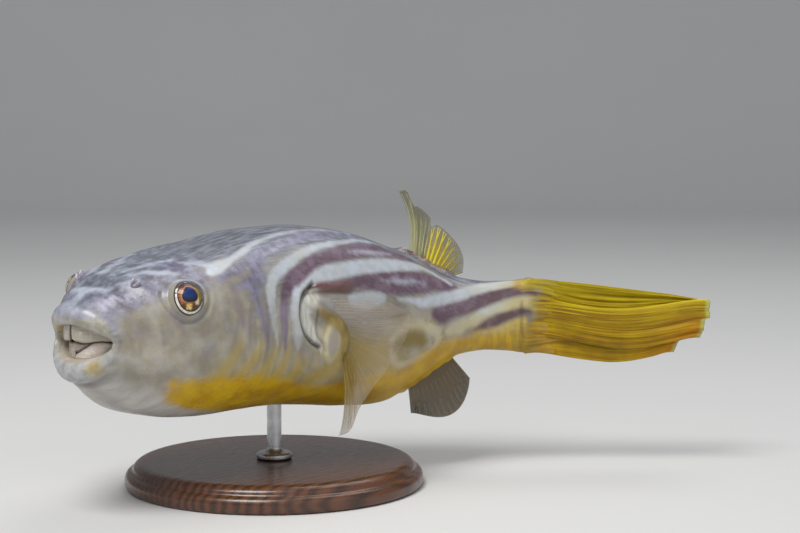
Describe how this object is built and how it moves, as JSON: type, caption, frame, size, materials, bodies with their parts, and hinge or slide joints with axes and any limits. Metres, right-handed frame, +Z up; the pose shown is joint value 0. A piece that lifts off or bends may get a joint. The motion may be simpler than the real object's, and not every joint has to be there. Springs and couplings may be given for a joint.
{
  "type": "freshwater pufferfish model",
  "caption": "Life-size museum model of a Fahaka (Nile) freshwater pufferfish swimming with its tail swung round, held by a steel rod on a round wooden base.",
  "frame": {"origin": "centre of the stand's underside, on the floor, below the rod", "axes": "+Z up; the fish's head and shoulders lie along X with the snout towards -X; its left side faces -Y, and the tail swings towards -Y"},
  "size_m": [0.3385, 0.2422, 0.1594],
  "materials": {
    "skin": "wet-looking smooth skin, purple-brown bands on pale lavender grey, yellow belly",
    "fin": "thin translucent fin membrane with fine rays",
    "tail_fin": "yellow furled fin membrane with fine rays",
    "eye": "polished glass eye with a coppery iris and dark pupil",
    "beak": "ivory tooth plates",
    "stand_wood": "dark stained hardwood, satin varnish",
    "stand_steel": "brushed stainless steel"
  },
  "bodies": {
    "root": {"head": "skin", "trunk": "skin", "tail_stalk": "skin", "dorsal_fin": "fin", "anal_fin": "fin", "caudal_fin": "tail_fin", "pectoral_fin_left": "fin", "pectoral_fin_right": "fin", "eye_left": "eye", "eye_right": "eye", "nasal_flap_left": "skin", "nasal_flap_right": "skin", "upper_beak_left": "beak", "upper_beak_right": "beak", "lower_beak_left": "beak", "lower_beak_right": "beak", "stand_base": "stand_wood", "stand_rod": "stand_steel"}
  },
  "joints": []
}
